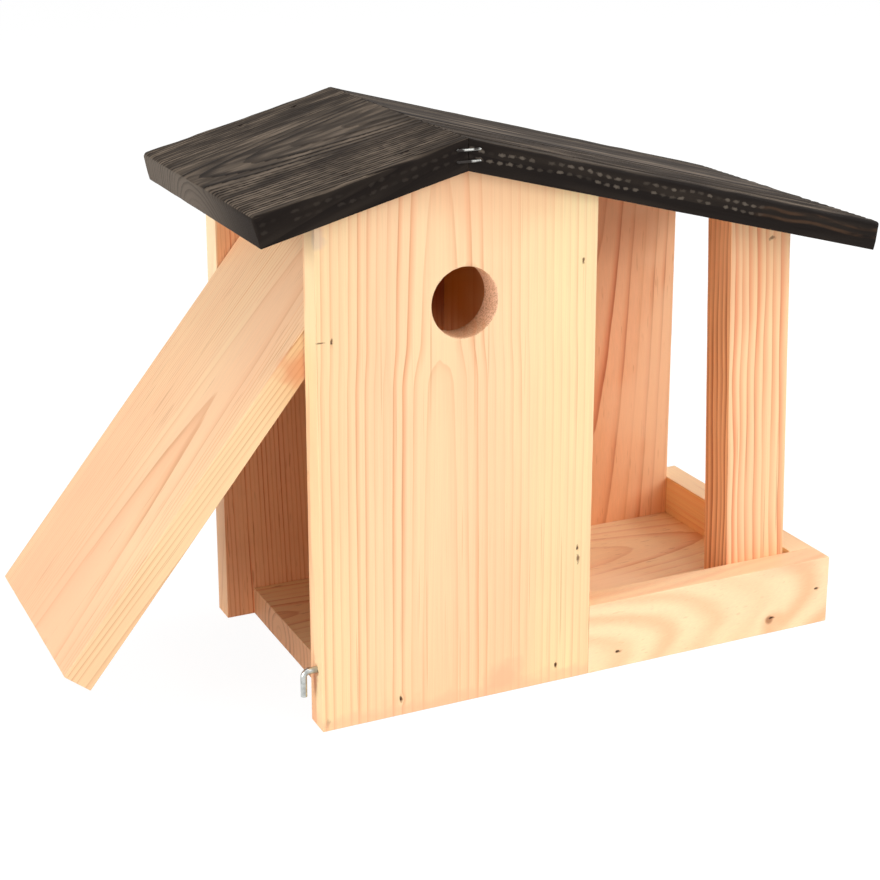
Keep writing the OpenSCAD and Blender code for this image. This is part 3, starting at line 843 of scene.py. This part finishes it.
# Colours of the boards: the back and the partition come from redder wood
REDDER = dict(
    heart=srgb(251, 189, 140), sap=srgb(251, 191, 141), late=srgb(228, 138, 92), edge=srgb(182, 98, 58))
UP = (0.0, 0.0, 1.0)
FORWARD = (0.0, -1.0, 0.0)
LOOKS = {
    "front": PineLook(
        heart=srgb(250, 214, 168), sap=srgb(250, 222, 170), late=srgb(243, 174, 129), edge=srgb(206, 142, 98),
        late_share=1.0, edge_share=0.5, fade_from=-85 * MM, fade_to=-40 * MM, faded=0.5),
    "back": PineLook(
        late_share=1.1, edge_share=0.72, side_tone_and_shade=srgb(252, 204, 158), side_share=0.85,
        side_late_and_shade=srgb(240, 180, 136), **REDDER),
    "floor": PineLook(
        heart=srgb(253, 224, 180), late=srgb(232, 158, 112), edge=srgb(160, 100, 62),
        late_share=0.8, edge_share=0.28, side_tone_and_shade=srgb(204, 138, 96), side_share=0.8,
        side_late_and_shade=srgb(146, 90, 54)),
    "partition": PineLook(**REDDER),
    "rail": PineLook(
        heart=srgb(252, 230, 186), late=srgb(244, 188, 143), edge=srgb(240, 186, 140),
        late_share=1.3, edge_share=0.1, blush=0.25, side=UP, side_tone_and_shade=srgb(252, 214, 170), side_share=0.95,
        side_late_and_shade=srgb(246, 192, 148)),
    "end_rail": PineLook(
        heart=srgb(252, 222, 170), late=srgb(240, 172, 118), side=UP, side_tone_and_shade=srgb(253, 216, 174),
        side_share=0.8),
    # The post's left face is painted darker, with darker rings: painted shade where the house shades it
    "post": PineLook(
        heart=srgb(252, 211, 161), late=srgb(238, 156, 110), edge=srgb(160, 92, 54),
        late_share=2.0, edge_share=0.5, side_tone_and_shade=srgb(226, 166, 116), side_share=0.9,
        side_late_and_shade=srgb(174, 114, 76)),
    "door": PineLook(
        heart=srgb(252, 212, 168), sap=srgb(252, 210, 164), late=srgb(242, 178, 132), edge=srgb(186, 124, 82),
        late_share=1.1, edge_share=0.55, blush=0.4, side=FORWARD, side_tone_and_shade=srgb(251, 214, 164),
        side_share=0.8, side_late_and_shade=srgb(222, 162, 114)),
    "hole": PineLook(heart=srgb(250, 204, 168), late_share=0.2, edge_share=0.1, rough_cut=0.6),
}


def pine_of(wood, marks=(), look=None):
    """Pine for one of the house's boards, with the board's own look or another."""
    return pine(f"{look or wood}_pine", LOGS[wood], LOOKS[look or wood], marks)


# The drilled entrance: rows and columns of its mesh, its flare at the faces and its torn surface
DRILL_ROWS = 30
DRILL_COLUMNS = 120
DRILL_MARGIN = 2 * MM
FLARE = 0.35 * MM
FLARE_DEPTH = 0.8 * MM
TORN_DEPTH = 0.15 * MM


def entrance_cutter(material):
    """A drill's shape: the entrance hole, slightly flared and torn at both faces."""
    low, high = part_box("front_panel")
    points = []
    for depth in np.linspace(low.y - DRILL_MARGIN, high.y + DRILL_MARGIN, DRILL_ROWS):
        to_face = min(abs(depth - low.y), abs(depth - high.y))
        flare = FLARE * max(0.0, 1.0 - to_face / FLARE_DEPTH)
        for angle in np.linspace(0, 2 * math.pi, DRILL_COLUMNS, endpoint=False):
            across = math.cos(angle)
            up = math.sin(angle)
            torn = TORN_DEPTH * noise.noise(Vector((across * 60, depth * 900, up * 60)))
            radius = ENTRANCE_R + flare + torn
            points.append((ENTRANCE_PLACE.x + radius * across, depth, ENTRANCE_PLACE.z + radius * up))
    ring = range(DRILL_COLUMNS)
    last = (DRILL_ROWS - 1) * DRILL_COLUMNS
    faces = []
    for start in range(0, last, DRILL_COLUMNS):
        end = start + DRILL_COLUMNS
        for column in ring:
            after = (column + 1) % DRILL_COLUMNS
            faces.append((start + column, end + column, end + after, start + after))
    faces.append(tuple(ring))
    faces.append(tuple(last + column for column in reversed(ring)))
    return mesh_object("entrance_cutter", points, faces, [material])


def keep_shape(piece):
    """Turns what a piece's modifiers give into its own mesh."""
    graph = bpy.context.evaluated_depsgraph_get()
    mesh = bpy.data.meshes.new_from_object(piece.evaluated_get(graph))
    piece.modifiers.clear()
    piece.data = mesh


def cut_away(piece, cutter):
    """Takes the cutter's shape out of a piece."""
    cut = piece.modifiers.new("cut", "BOOLEAN")
    cut.object = cutter
    cut.operation = "DIFFERENCE"
    cut.solver = "EXACT"
    cut.material_mode = "TRANSFER"
    keep_shape(piece)
    bpy.data.objects.remove(cutter)


def relief_group():
    """Geometry nodes that brush the soft early wood out of a board's top by a small depth."""
    tree, g, given, out = new_group(
        "brushed_relief", "GeometryNodeTree",
        [("Geometry", "Geometry"), ("Depth", "Float"), ("Wood", "Material")] + LOG_INPUTS,
        [("Geometry", "Geometry")])
    position = g.node("GeometryNodeInputPosition").outputs[0]
    normal = g.node("GeometryNodeInputNormal").outputs[0]
    sources = {label: given[label] for label, _ in LOG_INPUTS}
    rings = g.group(ring_group("GeometryNodeTree"), {"Point": position, **sources}, "GeometryNodeGroup")
    on_top = g.grade(g.parts(normal)[Z], 0.5, 0.9, 0.0, given["Depth"])
    drop = g.math("MULTIPLY", g.math("SUBTRACT", rings["Late"], 1.0), on_top)
    moved = g.node("GeometryNodeSetPosition")
    g.feed(moved.inputs["Geometry"], given["Geometry"])
    g.feed(moved.inputs["Offset"], g.vector("MULTIPLY", normal, g.even(drop)))
    whole = g.node("GeometryNodeRealizeInstances")
    g.feed(whole.inputs["Geometry"], moved.outputs[0])
    finish = g.node("GeometryNodeSetMaterial")
    g.feed(finish.inputs["Geometry"], whole.outputs[0])
    g.feed(finish.inputs["Material"], given["Wood"])
    g.feed(out["Geometry"], finish.outputs[0])
    return tree


RELIEF = relief_group()


def brush(piece, log, depth):
    """Gives a board's top the relief of its own growth rings."""
    values = {"Depth": depth, "Wood": piece.data.materials[0], **ring_values(log)}
    brushing = piece.modifiers.new("brushing", "NODES")
    brushing.node_group = RELIEF
    for item in RELIEF.interface.items_tree:
        if item.in_out == "INPUT" and item.name in values:
            brushing[item.identifier] = values[item.name]
    keep_shape(piece)


def dress(piece, node, body):
    """Puts a finished piece in place of a CAD node."""
    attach(piece, body)
    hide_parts(node)


def add_pine_board(name, node, wood, marks=(), body="house", **shape):
    """A finished pine board in place of a CAD node."""
    dress(board(name, node, pine_of(wood, marks), **shape), node, body)


# Front panel with the entrance hole
front_pits = pits_of(["front_floor_nails", "front_partition_nails", "door_pivot_nail_front"], Y, LOW, Z)
LEFT_EDGE_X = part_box("front_panel")[LOW].x
PIVOT_CRACK = Pit((DOOR_PIVOT.x - 4.6 * MM, FRONT_Y, DOOR_PIVOT.z), Y, LOW, X, 0.4 * MM, 2.2 * MM, 0.5 * MM)
HOOK_TEAR = Pit((LEFT_EDGE_X, HOOK_PLACE.y, HOOK_PLACE.z - 0.6 * MM), X, LOW, Z, 2.1 * MM, 2.9 * MM, 0.7 * MM)
EDGE_NICK = Pit((LEFT_EDGE_X, FRONT_Y + 12.7 * MM, 118.7 * MM), X, LOW, Z, 0.9 * MM, 2.0 * MM, 0.6 * MM)
SMUDGE_RED = srgb(206, 128, 88)
UNDER_ROOF_PAINTED_SHADE = srgb(240, 178, 134)
SCUFF_GREY = srgb(206, 182, 166)
FRONT_MARKS = nail_marks(front_pits) + [
    Mark(PIVOT_CRACK.place, 2.4 * MM, (1.0, 1.0, 5.0)),
    Mark((-8.2 * MM, FRONT_Y, 61 * MM), 1.7 * MM, (1.6, 1.0, 0.5)),
    Mark(HOOK_TEAR.place, 2.6 * MM, (1.0, 1.0, 0.9), share=0.8),
    Mark((LEFT_EDGE_X, HOOK_PLACE.y + 2 * MM, HOOK_PLACE.z - 7 * MM), 6 * MM, (1.0, 1.6, 0.55),
         SMUDGE_RED, 0.7),
    Mark((LEFT_EDGE_X + 2.3 * MM, FRONT_Y, 3.7 * MM), 1.6 * MM, (1.0, 1.0, 0.5), share=0.45),
    Mark((-46 * MM, FRONT_Y, 8 * MM), 12 * MM, (0.9, 1.0, 1.2), BLUSH, 0.8),
    Mark((0.0, FRONT_Y, 0.0), 9 * MM, (0.0, 0.0, 1.0), BLUSH, 0.45),
    # Painted shade: the front's top turns darker and pinker under the roof
    Mark((RIDGE[X], FRONT_Y, RIDGE[Z] + 10 * MM), 55 * MM, (0.4, 0.0, 1.0), UNDER_ROOF_PAINTED_SHADE, 0.45),
    Mark((LEFT_EDGE_X + 1.0 * MM, FRONT_Y, 228 * MM), 5 * MM, (1.0, 1.0, 0.5), SCUFF_GREY, 0.4),
]
front = board("front_board", "front_panel", pine_of("front", FRONT_MARKS), sloped=True,
              pits=front_pits + [PIVOT_CRACK, HOOK_TEAR, EDGE_NICK], seed=1.0)
cut_away(front, entrance_cutter(pine_of("front", look="hole")))
dress(front, "front_panel", "house")

# Back panel, whose marks in the nest and the bay fade out within its thickness, so that they stay on its inner
# face. The mark at the nest's upper corner is painted shade inside the nest.
NEST_CORNER = (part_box("partition_wall")[LOW].x, BACK_INSIDE_Y, 175 * MM)
BACK_PAINTED_SHADE = Mark(NEST_CORNER, 58 * MM, (1.0, 5.0, 1.0), srgb(158, 66, 4), 0.85)
BAY_TOP_PAINTED_SHADE = srgb(206, 142, 102)
BAY_END_PAINTED_LIGHT = srgb(255, 208, 164)
EDGE_PAINTED_LIGHT = srgb(255, 230, 188)
back_pits = pits_of(["back_floor_nails", "back_partition_nails", "door_pivot_nail_back"], Y, HIGH, Z)
BACK_MARKS = nail_marks(back_pits) + [
    BACK_PAINTED_SHADE,
    # Painted shade under the roof: the back wall is darker at the top of the bay
    Mark((40 * MM, BACK_INSIDE_Y, 235 * MM), 70 * MM, (0.3, 6.0, 1.0), BAY_TOP_PAINTED_SHADE, 0.5),
    # Painted light: the top of the left edge is paler where the roof shades it
    Mark((LEFT_EDGE_X, BACK_INSIDE_Y + 7 * MM, 215 * MM), 75 * MM, (60.0, 1.0, 0.8), EDGE_PAINTED_LIGHT, 0.7),
    # Painted light: the back wall is paler towards the bay's open end
    Mark((126 * MM, BACK_INSIDE_Y, 90 * MM), 40 * MM, (1.0, 4.0, 0.3), BAY_END_PAINTED_LIGHT, 0.6),
]
add_pine_board("back_board", "back_panel", "back", BACK_MARKS, sloped=True, pits=back_pits, seed=2.0)

# Floor and partition
floor_pits = pits_of(["post_foot_nails"], Z, LOW, X)
FLOOR_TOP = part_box("floor_board")[HIGH].z
# Painted light: a paler patch at the front of the bay's floor, where light falls in
FLOOR_FRONT_PAINTED_LIGHT = Mark((40 * MM, -18 * MM, FLOOR_TOP), 45 * MM, (0.7, 1.0, 4.0), srgb(255, 226, 188), 0.8)
add_pine_board("floor_plank", "floor_board", "floor", [FLOOR_FRONT_PAINTED_LIGHT], pits=floor_pits, seed=3.0)

# Painted shade in the nest's upper corner, on the partition's nest side
PARTITION_PAINTED_SHADE = Mark(NEST_CORNER, 58 * MM, (5.0, 1.0, 1.0), srgb(204, 116, 8), 0.9)
add_pine_board("partition_board", "partition_wall", "partition", [PARTITION_PAINTED_SHADE], sloped=True, seed=4.0)

# Rails round the feeding floor
rail_pits = pits_of(["rail_floor_nails", "rail_corner_nail"], Y, LOW, X)
RAIL_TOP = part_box("front_rail")[HIGH].z
RAIL_BLUSH = Mark((120 * MM, FRONT_Y + 8 * MM, RAIL_TOP), 42 * MM, (1.0, 1.0, 4.0), BLUSH, 0.4)
RAIL_MARKS = nail_marks(rail_pits) + [RAIL_BLUSH]
add_pine_board("front_rail_board", "front_rail", "rail", RAIL_MARKS, pits=rail_pits, seed=5.0)

end_pits = pits_of(["end_rail_floor_nails", "end_rail_back_nail"], X, HIGH, Y)
add_pine_board("end_rail_board", "end_rail", "end_rail", nail_marks(end_pits), pits=end_pits, seed=6.0)

# Post and door
POST_LOW, POST_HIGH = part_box("corner_post")
# Painted shade under the roof: the post turns darker towards its top
POST_TOP_PAINTED_SHADE = Mark((0.0, 0.0, POST_HIGH.z + 5 * MM), 60 * MM, (0.0, 0.0, 1.0), srgb(228, 154, 112), 0.22)
POST_SPOT = Mark((102.8 * MM, POST_LOW.y, 200.8 * MM), 1.8 * MM, (0.8, 1.0, 1.4), share=0.8)
POST_MARKS = [POST_TOP_PAINTED_SHADE, POST_SPOT]
add_pine_board("post_board", "corner_post", "post", POST_MARKS, turn=LEANING, sloped=True, seed=7.0)

DOOR_EDGE = on_door(9 * MM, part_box("side_door")[LOW].y, 18 * MM)
DOOR_BLUSH = Mark(DOOR_EDGE, 12 * MM, colour=srgb(236, 160, 116), share=0.7)
DOOR_FOOT = Mark(on_door(0.0, 0.0, 182 * MM), 110 * MM, colour=BLUSH, share=0.5)
add_pine_board("door_board", "side_door", "door", [DOOR_BLUSH, DOOR_FOOT], "door", turn=DOOR_TURN, seed=8.0)

# Roof boards, with rows of flecks along their front edges
BRUSHED_DEPTH = 0.25 * MM
ROOF_EASING = 3.0 * MM
ROOF_STEPS = (5 * MM, 0.6 * MM, 2 * MM)
ROOF_PEAK = (RIDGE[X], ROOF_FRONT_Y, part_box("roof_board_left")[HIGH].z)
LEFT_FLECKS = EdgeFlecks(
    ROOF_PEAK, (0.0, -ROOF_PITCH, 0.0), tuple(LEFT_SLOPE @ Vector((-1.0, 0.0, 0.0))), share=0.12)
RIGHT_FLECKS = EdgeFlecks(
    ROOF_PEAK, (0.0, ROOF_PITCH, 0.0), tuple(RIGHT_SLOPE @ Vector((1.0, 0.0, 0.0))), streak_from_mm=150.0,
    share=0.68)


def add_roof_board(side, slope, mitre, flecks, seed):
    """A brushed and stained roof board on one side of the ridge."""
    node = f"roof_board_{side}"
    log = LOGS[f"roof_{side}"]
    piece = board(
        f"roof_{side}", node, stained(f"{side}_stain", log, flecks), turn=slope, easing=ROOF_EASING,
        steps=ROOF_STEPS, mitre=mitre, pits=pits_of([f"roof_{side}_nails"], Z, HIGH, X, slope), seed=seed)
    brush(piece, log, BRUSHED_DEPTH)
    dress(piece, node, "house")


add_roof_board("left", LEFT_SLOPE, 1, LEFT_FLECKS, 9.0)
add_roof_board("right", RIGHT_SLOPE, -1, RIGHT_FLECKS, 10.0)

# Hardware keeps its CAD shape
FINISHES = {"latch_hook": zinc_plate(), "ridge_staples": stained_wire()}
STEEL = nail_steel()
for name, node in NODES.items():
    if name in FINISHES or "nail" in name:
        node.data.materials.clear()
        node.data.materials.append(FINISHES.get(name, STEEL))

# Studio floor, just below the house, and light from all round
STUDIO_HALF = 6.0
STUDIO_Z = -0.05 * MM
STUDIO_GLOW = 1.1
SHADOW_KEPT = 0.15
WORLD_LIGHT = 0.37
WHITE = (1.0, 1.0, 1.0, 1.0)
PALE_GREY = (0.9, 0.9, 0.9, 1.0)

# Square lamps turned to the middle of the house: name, place, width and watts
LAMP_TARGET = Vector((0.0, 0.0, 0.1))
LAMPS = [
    ("front_lamp", (1.15, -1.6, 0.95), 1.4, 15.8),
    ("left_lamp", (-2.0, -0.6, 0.6), 1.2, 26.0),
    ("right_lamp", (2.0, -0.3, 1.1), 1.0, 24.5),
    ("top_lamp", (0.0, -0.3, 2.2), 1.4, 13.0),
]


def seen_directly(g):
    """1 for rays that see the studio itself: from the camera, off mirrors or through glass."""
    path = g.node("ShaderNodeLightPath")
    seen = g.math("MAXIMUM", path.outputs["Is Camera Ray"], path.outputs["Is Glossy Ray"])
    return g.math("MAXIMUM", seen, path.outputs["Is Transmission Ray"])


def add_stage():
    """A pale floor that keeps a part of the object's shadow."""
    signs = ((-1, -1), (1, -1), (1, 1), (-1, 1))
    corners = [(x * STUDIO_HALF, y * STUDIO_HALF, STUDIO_Z) for x, y in signs]
    material, g, shader = new_material("pale_floor")
    shader.inputs["Base Color"].default_value = PALE_GREY
    shader.inputs["Roughness"].default_value = 0.9
    shader.inputs["Specular IOR Level"].default_value = 0.0
    glow = g.node("ShaderNodeEmission")
    glow.inputs["Color"].default_value = WHITE
    glow.inputs["Strength"].default_value = STUDIO_GLOW
    blend = g.node("ShaderNodeMixShader")
    g.feed(blend.inputs[0], g.math("MULTIPLY", seen_directly(g), 1 - SHADOW_KEPT))
    g.feed(blend.inputs[1], shader.outputs[0])
    g.feed(blend.inputs[2], glow.outputs[0])
    g.feed(material.node_tree.nodes["Material Output"].inputs["Surface"], blend.outputs[0])
    floor = mesh_object("studio_floor", corners, [(0, 1, 2, 3)], [material])


def add_world():
    """Even light from all round, which the camera and mirrors see as white."""
    world = bpy.data.worlds.new("studio")
    world.use_nodes = True
    bpy.context.scene.world = world
    g = Graph(world.node_tree)
    background = world.node_tree.nodes["Background"]
    background.inputs["Color"].default_value = WHITE
    g.feed(background.inputs["Strength"], g.grade(seen_directly(g), 0.0, 1.0, WORLD_LIGHT, 1.0))


def add_lamp(name, place, width, power):
    """A square lamp turned to the house."""
    lamp = bpy.data.lights.new(name, "AREA")
    lamp.shape = "SQUARE"
    lamp.size = width
    lamp.energy = power
    made = bpy.data.objects.new(name, lamp)
    made.location = place
    made.rotation_euler = (LAMP_TARGET - Vector(place)).to_track_quat("-Z", "Y").to_euler()
    bpy.context.scene.collection.objects.link(made)


# Camera, from a fit to the edges of the house in the photograph
IMAGE_PX = 880
FOCAL_PX = 1846.0
CAMERA_PLACE = (-0.4073, -0.7722, 0.4054)
CAMERA_HEADING = math.radians(25.11)
CAMERA_DROP = math.radians(15.52)
CAMERA_SHIFT = -0.15


def add_camera():
    """The photograph's camera."""
    camera = bpy.data.cameras.new("camera")
    camera.sensor_width = 36.0
    camera.lens = FOCAL_PX / IMAGE_PX * camera.sensor_width
    camera.shift_y = CAMERA_SHIFT
    made = bpy.data.objects.new("camera", camera)
    made.location = CAMERA_PLACE
    made.rotation_euler = Euler((math.radians(90) - CAMERA_DROP, 0.0, -CAMERA_HEADING))
    bpy.context.scene.collection.objects.link(made)
    bpy.context.scene.camera = made


add_stage()
add_world()
for lamp in LAMPS:
    add_lamp(*lamp)
add_camera()
bpy.context.scene.view_settings.view_transform = "Standard"
